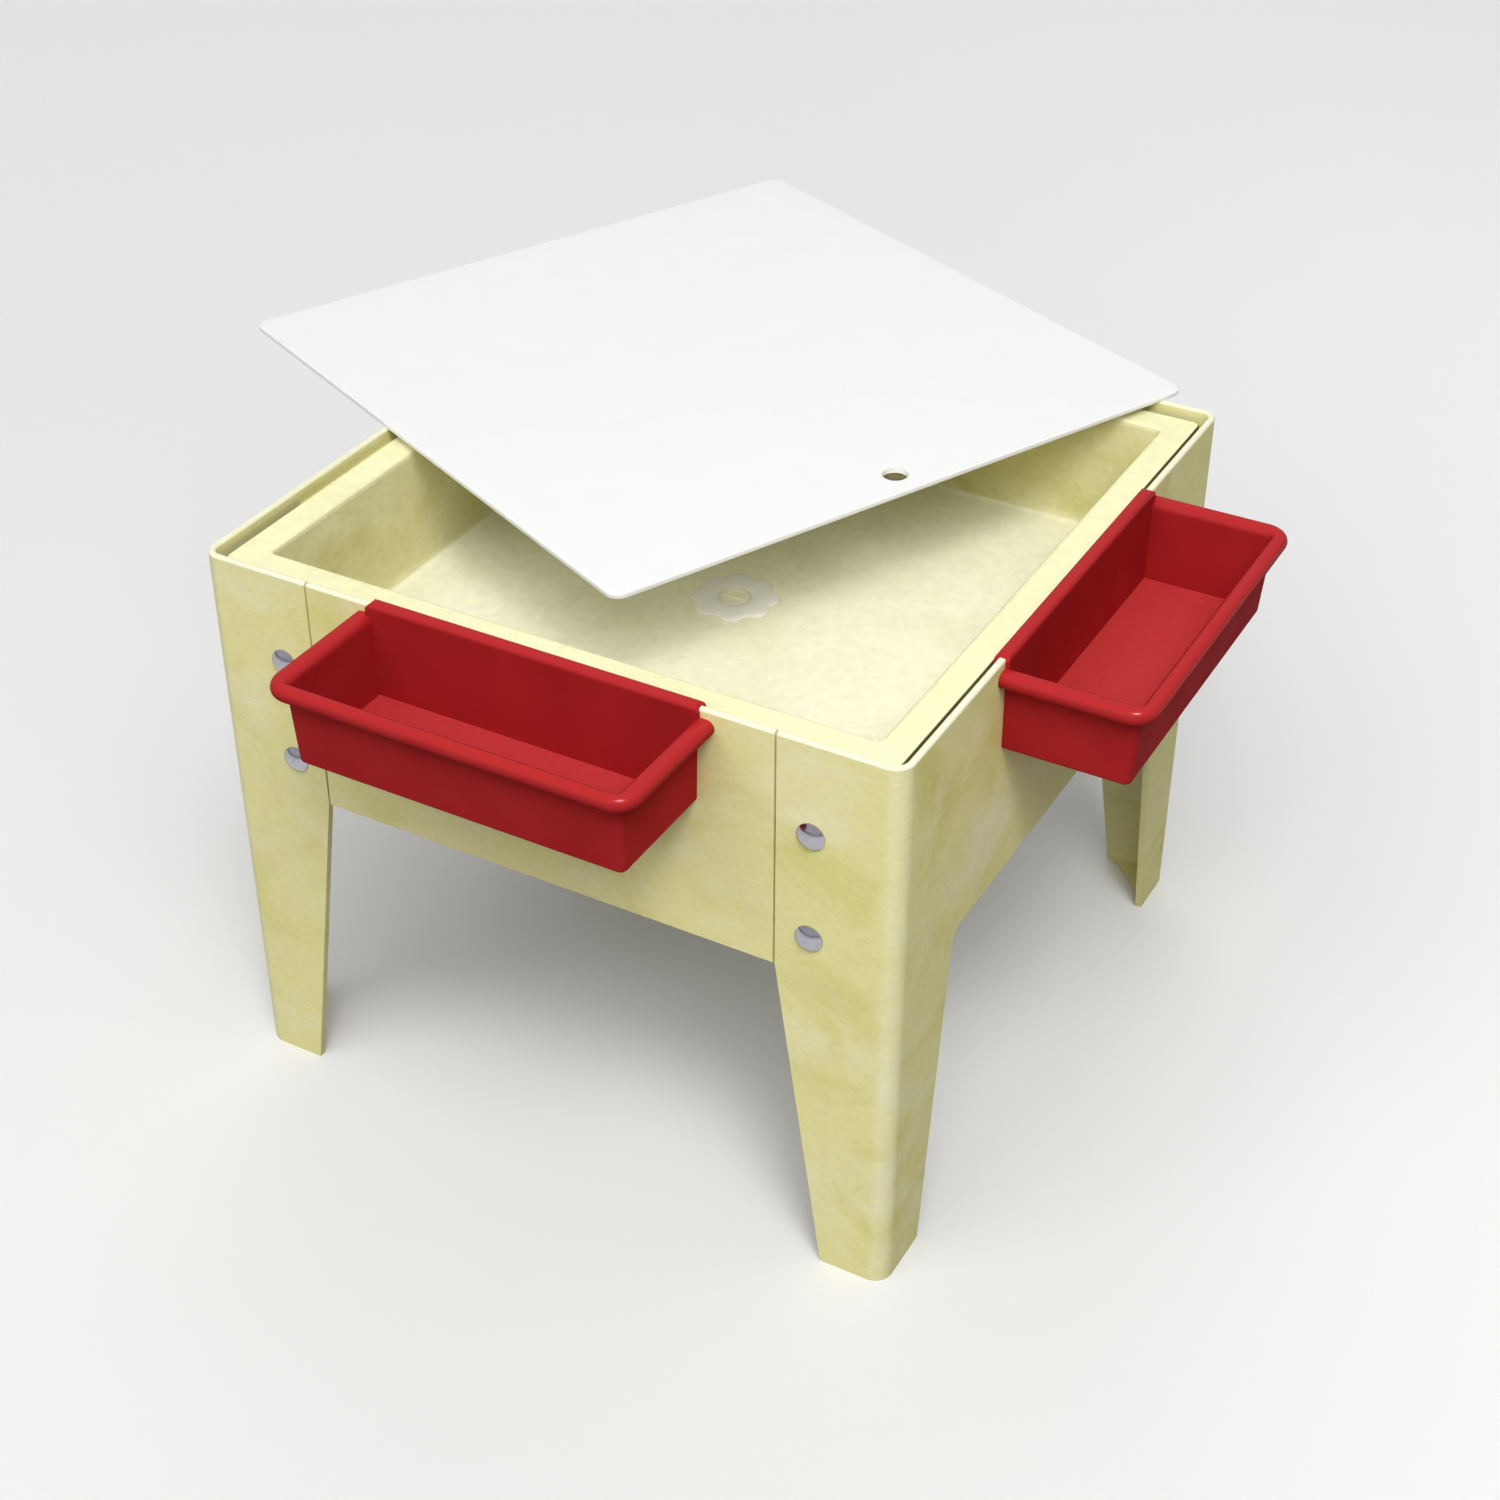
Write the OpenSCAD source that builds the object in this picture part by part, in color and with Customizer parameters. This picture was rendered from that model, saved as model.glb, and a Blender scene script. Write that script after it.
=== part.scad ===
// Low square play table for small children: a moulded frame on four tapered legs,
// a drop-in basin with a drain, a loose lid and two storage trays that hook over the rim.
// Millimetres. X runs along the front, Y to the back, Z up from the floor; the origin is
// the middle of the footprint.

/* [Table] */
// Width of the table, across the front
table_w = 560; // [500:5:700]
// Depth of the table, front to back
table_d = 560; // [500:5:700]
// Height of the rim above the floor
table_h = 457; // [420:1:560]
// Thickness of the frame's plastic walls
wall = 5.5; // [4.5:0.1:6.5]
// Outer radius of the frame's upright corners
corner_r = 14; // [11:0.5:18]
// Depth of the apron, from the rim down to its lower edge
apron_h = 190; // [160:1:210]
// Radius along the two top edges of the rim
rim_edge_r = 2; // [1:0.1:2.2]

/* [Legs] */
// Width of the end frame's flange on the front and back, out to the seam
flange_w = 92; // [80:1:110]
// Width of a foot across the front or back face
foot_front_w = 52; // [40:1:64]
// Width of a leg across the side face, just under the apron
leg_side_w = 90; // [76:1:104]
// Width of a foot across the side face
foot_side_w = 56; // [44:1:70]
// Radius between the side apron and a leg
leg_fillet_r = 13; // [6:0.5:20]
// Length of the foot plate along each inner face of the foot
foot_plate_w = 40; // [28:1:44]
// Open width of the seam between a flange and a centre panel
seam_gap = 1.6; // [0.6:0.1:2.4]
// How far a centre panel's tab reaches behind the flange
tab_reach = 48; // [44:1:60]
// How far the tab hangs below the apron's edge
tab_drop = 5; // [2:0.5:10]

/* [Basin] */
// Depth of the basin inside, from the flange's top to the floor
basin_depth = 97.5; // [80:0.5:120]
// Thickness of the basin's plastic
basin_wall = 4.5; // [3.5:0.1:5.5]
// How far the basin's flange lies below the rim
flange_sink = 7.5; // [7:0.5:12]
// Open gap between the basin's flange and the frame's wall
flange_gap = 5; // [4.6:0.1:7]
// Width of the flange from its outer edge to the basin's wall
flange_band = 25.5; // [22:0.5:32]
// Radius of the flange's outer corners
flange_corner_r = 18; // [12:0.5:24]
// Radius of the basin's inner corners at the top
basin_corner_r = 18; // [16:0.5:24]
// How much each basin wall leans in from top to floor
basin_draft = 4; // [2:0.5:6]
// Radius where the flange rolls over into the wall
mouth_r = 5; // [4.6:0.1:7]
// How far the frame's ledge reaches in under the flange
ledge_reach = 12.5; // [10:0.5:16]

/* [Lid] */
// Length of each side of the lid
lid_w = 543.5; // [480:0.5:548]
// Thickness of the lid
lid_t = 4; // [3:0.1:6]
// Radius of the lid's corners
lid_corner_r = 11; // [6:0.5:20]
// Diameter of the finger hole
finger_d = 20; // [16:0.5:28]
// Distance from the lid's edge to the middle of the finger hole
finger_in = 24.5; // [18:0.5:36]
// How far the finger hole lies to the left of the middle of that edge
finger_left = 3.5; // [0:0.5:20]
// Where the middle of the lid lies, left of the table's middle
lid_left = 117.6; // [110:0.1:130]
// Where the middle of the lid lies, behind the table's middle
lid_back = 165.2; // [155:0.1:175]
// Turn of the lid on the table, in degrees
lid_turn = 65.1; // [60:0.1:70]

/* [Trays] */
// Width of a tray over its rolled rim
tray_w = 286.5; // [220:0.5:320]
// How far a tray stands out from the frame
tray_out = 108; // [90:0.5:130]
// Depth of a tray from its rim to its underside
tray_h = 67.5; // [56:0.5:80]
// Height of the frame's rim above the tray's rim
tray_sink = 6.5; // [5:0.5:10]
// Thickness of a tray's walls
tray_wall = 2.8; // [2.2:0.1:3.4]
// Thickness of a tray's floor
tray_floor_t = 3; // [2.2:0.1:4]
// Diameter of the rolled rim
roll_d = 12; // [10:0.5:14]
// Outer corner radius of the rolled rim
roll_corner_r = 19; // [15:0.5:24]
// How far the rolled rim stands out from an end wall
end_reach = 12.5; // [11:0.5:16]
// How far the rolled rim stands out from the front wall
front_reach = 10; // [9:0.5:14]
// How much each end wall leans in from rim to floor
end_draft = 1.4; // [1:0.1:8]
// How much the front wall leans in from rim to floor
front_draft = 4.6; // [1:0.1:8]
// Thickness of the hook that goes over the frame's rim
hook_t = 2.4; // [1.8:0.1:2.6]
// How far the hook's lip reaches down behind the frame's wall
hook_lip = 10; // [6:0.5:10.5]
// Radius of the hook's upper corners
hook_corner_r = 5.5; // [3:0.5:10]
// Where the front tray hangs, right of the middle
front_tray_x = -0.7; // [-40:0.1:40]
// Where the side tray hangs, behind the middle
side_tray_y = 2.2; // [-40:0.1:40]

/* [Bolts] */
// Diameter of a domed bolt head
head_d = 21; // [18:0.5:24]
// Height of a domed bolt head
head_h = 5.4; // [4:0.1:6]
// Diameter of the bolt shank
bolt_d = 8; // [6:0.5:9]
// Distance of the bolts from the side of the table
bolt_in = 66; // [58:1:74]
// Depth of the upper bolt below the rim
bolt_top = 73; // [60:1:80]
// Distance between the two bolts of a joint
bolt_pitch = 85; // [60:1:90]

/* [Drain] */
// Diameter of the drain fitting's flange
drain_d = 70; // [60:1:80]
// Diameter of the drain plug's head
plug_d = 24; // [20:0.5:28]

/* [Hidden] */
$fn = 48;

over = 1;                              // how far a cutter runs past a face
half_w = table_w / 2;
half_d = table_d / 2;
inner_x = half_w - wall;               // inner faces of the frame
inner_y = half_d - wall;
apron_z = table_h - apron_h;           // lower edge of the apron
seam_x = half_w - flange_w;
foot_front_x = half_w - foot_front_w;
foot_side_y = half_d - foot_side_w;
leg_side_y = half_d - leg_side_w;
bolt_x = half_w - bolt_in;
bolt_z = [table_h - bolt_top, table_h - bolt_top - bolt_pitch];

flange_top = table_h - flange_sink;
flange_low = flange_top - basin_wall;
flange_x = inner_x - flange_gap;       // outer edges of the basin's flange
flange_y = inner_y - flange_gap;
basin_cx = flange_x - flange_band - basin_corner_r;
basin_cy = flange_y - flange_band - basin_corner_r;
floor_top = flange_top - basin_depth;
floor_low = floor_top - basin_wall;
floor_r = basin_corner_r - basin_draft;
flange_edge_r = 1.5;

ledge_t = 4;                           // upright nose of the ledge
ledge_slope = ledge_reach + 1;         // the ledge's underside falls this far to the wall
ledge_end = 40;                        // the ledge stops this far short of a seam or leg
tab_top = flange_low - ledge_t - 3;    // the tab ends below the basin's flange

lid_edge_r = 1;

tray_clear = 0.3;                      // between a tray and the frame
roll_r = roll_d / 2;
roll_z = table_h - tray_sink - roll_r;
tray_crest = table_h - tray_sink;
tray_floor = tray_crest - tray_h;
roll_cx = tray_w / 2 - roll_corner_r;
roll_cy = tray_out - roll_corner_r;
tray_x = tray_w / 2 - end_reach;       // outer faces of the tray's walls under the rim
tray_y = tray_out - front_reach;
crest_land = 0.4;                      // level strip along the rim's crest
tray_mouth_r = front_reach + tray_wall - roll_r - crest_land;   // the walls roll over up to it
tray_corner_r = 5.2;
tray_in_r = tray_corner_r - tray_wall;
tray_foot_r = 2;                       // round along the tray's lower edge
hook_round = 4;                        // outer round of the hook
hook_x = tray_x + 1.7;                 // half width of the hook, a little wider than the tray

neck = 7.6;                            // square neck under the bolt's head
neck_len = 4;
fit = 0.2;                             // all round a bolt in its holes
washer_t = 1.6;
washer_d = 20;
nut_flats = 13;
nut_h = 6.5;
bolt_len = 2 * wall + washer_t + nut_h + 3;

drain_t = 2.4;                         // thickness of the drain fitting's flange
plug_t = 3;                            // height of the plug's head
plug_clear = 0.3;
plug_shank_r = plug_d / 2 - 2.5;
tail_r = plug_d / 2 + 4.5;             // outside of the drain fitting's tail
tail_len = 26;
gasket_t = 2.5;
nut_ring_h = 8;
lobes = 8;

// Square of half sizes hx and hy with round corners
module rounded_square(hx, hy, r) {
  square([2 * hx, 2 * (hy - r)], center = true);
  square([2 * (hx - r), 2 * hy], center = true);
  for (sx = [-1, 1], sy = [-1, 1])
    translate([sx * (hx - r), sy * (hy - r)]) circle(r);
}

// Runs an upright profile round a rectangle whose corners turn about (cx, cy)
module ring_sweep(cx, cy) {
  for (k = [0 : 3]) {
    a = k % 2 == 0 ? cx : cy;
    b = k % 2 == 0 ? cy : cx;
    rotate([0, 0, 90 * k]) translate([a, b, 0]) {
      rotate([90, 0, 0]) linear_extrude(2 * b) children();
      rotate_extrude(angle = 90) children();
    }
  }
}

// Upright strip from u = 0 to t and up to height h, with its two top edges rounded
module strip_profile(t, h, r) {
  square([t, h - r]);
  translate([r, 0]) square([t - 2 * r, h]);
  for (u = [r, t - r]) translate([u, h - r]) circle(r);
}

// Flat plate with a rounded edge: half sizes hx and hy, corner radius r, edge radius e.
// Only the top edge is rounded unless both is true.
module soft_plate(hx, hy, r, t, e, both = false) {
  linear_extrude(t) rounded_square(hx - e, hy - e, r - e);
  ring_sweep(hx - r, hy - r) translate([r - 2 * e, 0]) {
    translate([0, both ? e : 0]) square([2 * e, t - (both ? 2 * e : e)]);
    translate([e, t - e]) circle(e);
    if (both) translate([e, e]) circle(e);
  }
}

// Wall of the whole frame, before it is parted at the seams
module frame_wall() {
  ring_sweep(half_w - corner_r, half_d - corner_r)
    translate([corner_r - wall, 0]) strip_profile(wall, table_h, rim_edge_r);
}

// Outline of the opening between the two legs of a side, with its top corners rounded
module side_opening() {
  lean = (leg_side_w - foot_side_w) / apron_z;
  tilt = atan(lean);
  r = leg_fillet_r;
  cz = apron_z - r;
  cy = leg_side_y + r * lean - r / cos(tilt);
  ty = cy + r * cos(tilt);
  tz = cz + r * sin(tilt);
  low_y = foot_side_y + over * lean;
  polygon([[-cy, apron_z], [cy, apron_z], [ty, tz], [low_y, -over], [-low_y, -over], [-ty, tz]]);
  for (s = [-1, 1]) translate([s * cy, cz]) circle(r);
}

// Wedge that the basin's flange rests on, running len along X from an inner face at y = 0
module ledge(len) {
  translate([-len / 2, 0, flange_low]) rotate([90, 0, 90]) linear_extrude(len)
    polygon([[-over, 0], [ledge_reach, 0], [ledge_reach, -ledge_t],
             [0, -ledge_t - ledge_slope], [-over, -ledge_t - ledge_slope]]);
}

// Places its children on the frame's outside at each bolt of one joint, +Z pointing out
module at_bolts(sx, sy) {
  for (z = bolt_z)
    translate([sx * bolt_x, sy * half_d, z]) rotate([-90 * sy, 0, 0]) children();
}

module end_frame_solid() {
  difference() {
    union() {
      intersection() {
        frame_wall();
        translate([seam_x, -half_d - over, 0]) cube([flange_w + over, table_d + 2 * over, table_h]);
      }
      translate([inner_x, 0, 0]) rotate([0, 0, 90]) ledge(2 * (leg_side_y - ledge_end + flange_w / 4));
    }
    translate([inner_x - over, 0, 0]) rotate([90, 0, 90]) linear_extrude(wall + 2 * over) side_opening();
    // inner edges of the legs, tapering from the seam down to the feet
    translate([0, half_d + over, 0]) rotate([90, 0, 0]) linear_extrude(table_d + 2 * over)
      polygon([[seam_x - over, apron_z], [seam_x, apron_z], [foot_front_x, 0],
               [foot_front_x, -over], [seam_x - over, -over]]);
    for (sy = [-1, 1]) at_bolts(1, sy) {
      translate([0, 0, -wall - over]) cylinder(d = bolt_d + 2 * fit, h = wall + 2 * over);
      translate([-neck / 2 - fit, -neck / 2 - fit, -neck_len - fit])
        cube([neck + 2 * fit, neck + 2 * fit, neck_len + fit + over]);
    }
  }
  // three-cornered plates that close the feet
  for (sy = [-1, 1]) scale([1, sy, 1]) linear_extrude(wall)
    polygon([[inner_x - foot_plate_w, inner_y], [inner_x - foot_plate_w, inner_y + over],
             [inner_x - corner_r / 3, inner_y + over], [inner_x + over, inner_y - corner_r / 3],
             [inner_x + over, inner_y - foot_plate_w], [inner_x, inner_y - foot_plate_w]]);
}

module end_frame_right() {
  color("khaki") end_frame_solid();
}

module end_frame_left() {
  color("khaki") mirror([1, 0, 0]) end_frame_solid();
}

// Centre panel of the front or back: flush with the flanges, with a joggled tab at each end
module centre_panel() {
  edge_x = seam_x - seam_gap;
  tab_low = apron_z - tab_drop;
  difference() {
    union() {
      intersection() {
        frame_wall();
        translate([-edge_x, -half_d - over, apron_z]) cube([2 * edge_x, wall + 2 * over, apron_h]);
      }
      translate([0, -inner_y, 0]) ledge(2 * (edge_x - ledge_end));
      for (s = [-1, 1]) scale([s, 1, 1]) {
        translate([edge_x - 2 * wall, -inner_y, tab_low])
          cube([tab_reach + seam_gap + 2 * wall, wall, tab_top - tab_low]);
      }
    }
    for (sx = [-1, 1]) at_bolts(sx, -1)
      translate([0, 0, -2 * wall - over]) cylinder(d = bolt_d + 2 * fit, h = wall + 2 * over);
  }
}

module front_panel() {
  color("khaki") centre_panel();
}

module back_panel() {
  color("khaki") mirror([0, 1, 0]) centre_panel();
}

// Half section of the basin's wall: rolled mouth, leaning wall and round foot
module basin_profile() {
  top_u = basin_corner_r;
  low_u = floor_r;
  roll_top = basin_depth - mouth_r;
  difference() {
    union() {
      polygon([[low_u, floor_r], [top_u, roll_top], [top_u + basin_wall, roll_top],
               [low_u + basin_wall, floor_r]]);
      translate([top_u, roll_top]) square([mouth_r + 1, mouth_r]);
      translate([0, floor_r]) intersection() {
        circle(floor_r + basin_wall);
        translate([0, -floor_r - basin_wall]) square(floor_r + basin_wall);
      }
    }
    translate([top_u, roll_top]) difference() {
      translate([-over, 0]) square([mouth_r + over, mouth_r + over]);
      translate([mouth_r, 0]) circle(mouth_r);
    }
    translate([0, floor_r]) circle(floor_r);
  }
}

module basin() {
  color("palegoldenrod") difference() {
    union() {
      translate([0, 0, floor_top]) ring_sweep(basin_cx, basin_cy) basin_profile();
      translate([-basin_cx, -basin_cy, floor_low]) cube([2 * basin_cx, 2 * basin_cy, basin_wall]);
      translate([0, 0, flange_low]) difference() {
        soft_plate(flange_x, flange_y, flange_corner_r, basin_wall, flange_edge_r);
        translate([0, 0, -over]) linear_extrude(basin_wall + 2 * over)
          rounded_square(basin_cx + basin_corner_r + mouth_r, basin_cy + basin_corner_r + mouth_r,
                         basin_corner_r + mouth_r);
      }
    }
    translate([0, 0, floor_low - over]) cylinder(r = tail_r + fit, h = basin_wall + 2 * over);
  }
}

module lid() {
  color("white") translate([-lid_left, lid_back, table_h]) rotate([0, 0, lid_turn]) difference() {
    soft_plate(lid_w / 2, lid_w / 2, lid_corner_r, lid_t, lid_edge_r, both = true);
    translate([-finger_left, finger_in - lid_w / 2, -over]) cylinder(d = finger_d, h = lid_t + 2 * over);
  }
}

// Thin level slice of a tray at height z: square at the back, round at the two front corners
module tray_slice(hx, out, back, r, z, inset = 0) {
  x = hx - inset;
  y = out - inset;
  b = back + inset;
  q = max(r - inset, 0.5);
  translate([0, 0, z]) linear_extrude(0.01) {
    translate([-x, q - y]) square([2 * x, y - q - b]);
    translate([q - x, -y]) square([2 * (x - q), q]);
    for (s = [-1, 1]) translate([s * (x - q), q - y]) circle(q, $fn = 32);
  }
}

// Slab with the rim's rolled edge, drawn in by inset, about the tray's crest line
module rim_slab(inset) {
  r = roll_r - inset;
  translate([0, 0, roll_z]) {
    ring_sweep(roll_cx, roll_cy) translate([roll_corner_r - roll_r, 0]) circle(r);
    translate([0, 0, -r]) linear_extrude(2 * r)
      rounded_square(roll_cx + roll_corner_r - roll_r, roll_cy + roll_corner_r - roll_r,
                     roll_corner_r - roll_r);
  }
}

// Rolled rim, open underneath between its curl and the tray's walls
module tray_rim() {
  difference() {
    rim_slab(0);
    rim_slab(tray_wall);
    translate([0, 0, roll_z - roll_r - over]) linear_extrude(roll_r + over)
      rounded_square(roll_cx + roll_corner_r - roll_r, roll_cy + roll_corner_r - roll_r,
                     roll_corner_r - roll_r);
  }
}

// Inside of the mouth, where the walls roll over to the rim's crest
module tray_mouth() {
  in_x = tray_x - tray_wall;
  in_y = tray_y - tray_wall;
  r = tray_in_r + tray_mouth_r;
  translate([0, 0, tray_crest - tray_mouth_r]) {
    ring_sweep(in_x - tray_in_r, in_y - tray_in_r) difference() {
      square([r, tray_mouth_r + over]);
      translate([r, 0]) circle(tray_mouth_r);
    }
    linear_extrude(tray_mouth_r + over) rounded_square(in_x, in_y, tray_in_r);
  }
}

// Tray in the place of a front one, with the frame's outer face at y = 0
module tray() {
  back = tray_clear;
  low_x = tray_x - end_draft;
  low_y = tray_y - front_draft;
  in_back = back + tray_wall;
  in_x = tray_x - tray_wall;
  in_y = tray_y - tray_wall;
  in_low_x = low_x - tray_wall;
  in_low_y = low_y - tray_wall;
  in_top = tray_crest - tray_mouth_r;
  knee_z = tray_crest - tray_wall;
  r = tray_corner_r;
  f = tray_foot_r;
  difference() {
    union() {
      hull() {
        tray_slice(tray_x, tray_y, back, r, knee_z);
        tray_slice(low_x, low_y, back, r, tray_floor + f);
        tray_slice(low_x, low_y, back, r, tray_floor + 0.3 * f, 0.3 * f);
        tray_slice(low_x, low_y, back, r, tray_floor, f);
      }
      hull() {
        tray_slice(tray_x, tray_y, back, r, roll_z);
        tray_slice(tray_x + tray_wall, tray_y + tray_wall, back, r + tray_wall, knee_z);
      }
      intersection() {
        tray_rim();
        translate([-tray_w, -2 * tray_out - back, 0]) cube([2 * tray_w, 2 * tray_out, table_h]);
      }
    }
    hull() {
      tray_slice(in_x, in_y, in_back, tray_in_r, in_top + 0.1);
      tray_slice(in_low_x, in_low_y, in_back, tray_in_r, tray_floor + tray_floor_t);
    }
    intersection() {
      tray_mouth();
      translate([-tray_w, -2 * tray_out - in_back, 0]) cube([2 * tray_w, 2 * tray_out, table_h]);
    }
  }
  tray_hook();
}

// Back wall carried up, over the rim and down behind it
module tray_hook() {
  t = hook_t;
  out_y = -tray_clear - tray_wall;
  in_y = wall + tray_clear + t;
  top_z = table_h + t;
  lip_z = table_h - hook_lip;
  r = hook_round;
  n = rim_edge_r - 2 * tray_clear;
  intersection() {
    translate([-hook_x, 0, 0]) rotate([90, 0, 90]) linear_extrude(2 * hook_x) difference() {
      union() {
        translate([out_y, roll_z]) square([tray_wall, top_z - r - roll_z]);
        translate([in_y - t, lip_z + t / 2]) square([t, top_z - r - lip_z - t / 2]);
        translate([in_y - t / 2, lip_z + t / 2]) circle(t / 2);
        translate([out_y, table_h - n]) square([in_y - out_y, n - r + t]);
        translate([out_y + r, table_h - n]) square([in_y - out_y - 2 * r, n + t]);
        for (y = [out_y + r, in_y - r]) translate([y, top_z - r]) circle(r);
      }
      // room for the rounded rim
      translate([-tray_clear, lip_z - over]) square([wall + 2 * tray_clear, hook_lip - n + over]);
      translate([n - tray_clear, lip_z]) square([wall + 2 * tray_clear - 2 * n, hook_lip]);
      for (y = [n - tray_clear, wall + tray_clear - n]) translate([y, table_h - n]) circle(n);
    }
    translate([0, half_d, 0]) rotate([90, 0, 0]) linear_extrude(table_d)
      translate([0, top_z / 2]) rounded_square(hook_x, top_z / 2, hook_corner_r);
  }
}

module front_tray() {
  color("firebrick") translate([front_tray_x, -half_d, 0]) tray();
}

module side_tray() {
  color("firebrick") translate([half_w, side_tray_y, 0]) rotate([0, 0, 90]) tray();
}

// Flange on the basin's floor and the threaded tail that goes down through it
module drain_fitting() {
  color("gainsboro") translate([0, 0, floor_top]) difference() {
    union() {
      linear_extrude(drain_t) difference() {
        circle(d = drain_d);
        for (k = [0 : lobes - 1]) rotate(360 / lobes * k)
          translate([drain_d / 2 + drain_d / 18, 0]) circle(drain_d / 9);
      }
      translate([0, 0, -tail_len]) cylinder(r = tail_r, h = tail_len + drain_t);
    }
    translate([0, 0, drain_t - plug_t]) cylinder(d = plug_d + 2 * plug_clear, h = plug_t + over);
    translate([0, 0, -tail_len - over])
      cylinder(r = plug_shank_r + plug_clear, h = tail_len + drain_t + over);
  }
}

// Flat ring that seals the basin's floor from below
module drain_gasket() {
  color("dimgray") translate([0, 0, floor_low - gasket_t]) difference() {
    cylinder(d = drain_d - 14, h = gasket_t);
    translate([0, 0, -over]) cylinder(r = tail_r + fit, h = gasket_t + 2 * over);
  }
}

// Ring nut with six grips that pulls the fitting down
module drain_nut() {
  color("gainsboro") translate([0, 0, floor_low - gasket_t - nut_ring_h]) difference() {
    union() {
      cylinder(d = drain_d - 16, h = nut_ring_h);
      for (k = [0 : 5]) rotate([0, 0, 60 * k])
        translate([0, -3, 0]) cube([drain_d / 2 - 4, 6, nut_ring_h]);
    }
    translate([0, 0, -over]) cylinder(r = tail_r + fit / 2, h = nut_ring_h + 2 * over);
  }
}

// Stopper with a finger bar across the dish in its head
module drain_plug() {
  color("palegoldenrod") translate([0, 0, floor_top + drain_t - plug_t]) {
    difference() {
      cylinder(d = plug_d, h = plug_t);
      translate([0, 0, plug_t / 3]) cylinder(d = plug_d - 5, h = plug_t);
    }
    intersection() {
      translate([-plug_d / 2, -1.5, 0]) cube([plug_d, 3, plug_t]);
      cylinder(d = plug_d - 2, h = plug_t);
    }
    translate([0, 0, -14]) cylinder(r = plug_shank_r, h = 14 + plug_t / 4);
  }
}

// Bolt with a smooth domed head, a square neck and a round shank
module bolt() {
  a = head_d / 2;
  side = head_h / 5;
  dome = head_h - side;
  ball = (a * a + dome * dome) / (2 * dome);
  rotate_extrude() {
    square([a, side]);
    translate([0, side]) intersection() {
      translate([0, dome - ball]) circle(ball, $fn = 96);
      square([a, dome]);
    }
  }
  translate([-neck / 2, -neck / 2, -neck_len]) cube([neck, neck, neck_len + side / 2]);
  translate([0, 0, -bolt_len]) cylinder(d = bolt_d, h = bolt_len);
}

module bolts(sx, sy) {
  color("slategray") at_bolts(sx, sy) bolt();
}

module washers(sx, sy) {
  color("silver") at_bolts(sx, sy) translate([0, 0, -2 * wall - washer_t]) difference() {
    cylinder(d = washer_d, h = washer_t);
    translate([0, 0, -over]) cylinder(d = bolt_d + 2 * fit, h = washer_t + 2 * over);
  }
}

module nuts(sx, sy) {
  color("silver") at_bolts(sx, sy) translate([0, 0, -2 * wall - washer_t - nut_h]) difference() {
    cylinder(d = nut_flats / cos(30), h = nut_h, $fn = 6);
    translate([0, 0, -over]) cylinder(d = bolt_d + fit, h = nut_h + 2 * over);
  }
}

end_frame_left();
end_frame_right();
front_panel();
back_panel();
basin();
lid();
front_tray();
side_tray();
drain_fitting();
drain_gasket();
drain_nut();
drain_plug();
bolts(-1, -1);  // bolts_front_left
bolts(1, -1);  // bolts_front_right
bolts(-1, 1);  // bolts_back_left
bolts(1, 1);  // bolts_back_right
washers(-1, -1);  // washers_front_left
washers(1, -1);  // washers_front_right
washers(-1, 1);  // washers_back_left
washers(1, 1);  // washers_back_right
nuts(-1, -1);  // nuts_front_left
nuts(1, -1);  // nuts_front_right
nuts(-1, 1);  // nuts_back_left
nuts(1, 1);  // nuts_back_right
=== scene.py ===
"""Low play table for small children: cream plastic frame on four tapered legs, a drop-in basin
with a drain, a loose white lid and two red storage trays hooked over the rim.
Metres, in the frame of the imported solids: X along the front, Y to the back, Z up from the floor.
"""
import math

import bmesh
import bpy
import numpy as np
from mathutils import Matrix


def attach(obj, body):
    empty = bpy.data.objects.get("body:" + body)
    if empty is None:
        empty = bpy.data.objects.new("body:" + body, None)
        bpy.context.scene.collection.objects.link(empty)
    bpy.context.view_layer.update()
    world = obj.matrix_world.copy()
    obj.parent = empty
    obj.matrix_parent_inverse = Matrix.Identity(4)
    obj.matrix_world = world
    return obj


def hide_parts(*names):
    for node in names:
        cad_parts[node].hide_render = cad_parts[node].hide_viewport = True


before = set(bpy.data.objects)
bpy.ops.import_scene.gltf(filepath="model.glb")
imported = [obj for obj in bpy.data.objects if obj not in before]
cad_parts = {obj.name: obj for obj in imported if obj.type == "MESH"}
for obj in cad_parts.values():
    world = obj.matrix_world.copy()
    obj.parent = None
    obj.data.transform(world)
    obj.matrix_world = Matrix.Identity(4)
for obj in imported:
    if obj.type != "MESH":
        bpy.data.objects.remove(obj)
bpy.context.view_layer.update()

# ---- Camera -------------------------------------------------------------------------------
# Stands to the right of the table's front and looks down on it, as the photograph does. Its
# lens and shift are worked out from pixels of a picture that is 1500 pixels wide.
picture_px, focal_px = 1500, 2467.4
shift_right_px, shift_up_px = 6.0, -20.5
sensor_mm = 36.0
look_down, turned_left = 34.455, 29.159
camera_data = bpy.data.cameras.new("photo_camera")
camera_data.sensor_width = sensor_mm
camera_data.lens = focal_px / picture_px * sensor_mm
camera_data.shift_x = shift_right_px / picture_px
camera_data.shift_y = shift_up_px / picture_px
camera = bpy.data.objects.new("photo_camera", camera_data)
camera.location = (0.80045, -1.42018, 1.34766)
camera.rotation_euler = (math.radians(90 - look_down), 0.0, math.radians(turned_left))
bpy.context.scene.collection.objects.link(camera)
bpy.context.scene.camera = camera
bpy.context.scene.view_settings.view_transform = "Standard"

# ---- Frame --------------------------------------------------------------------------------
# Two end mouldings with the legs and two centre panels bolted between them, in satin cream
# plastic. Its pigment has settled in soft olive, pale and tan clouds, with short level flecks
# like the grain of maple.


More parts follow.
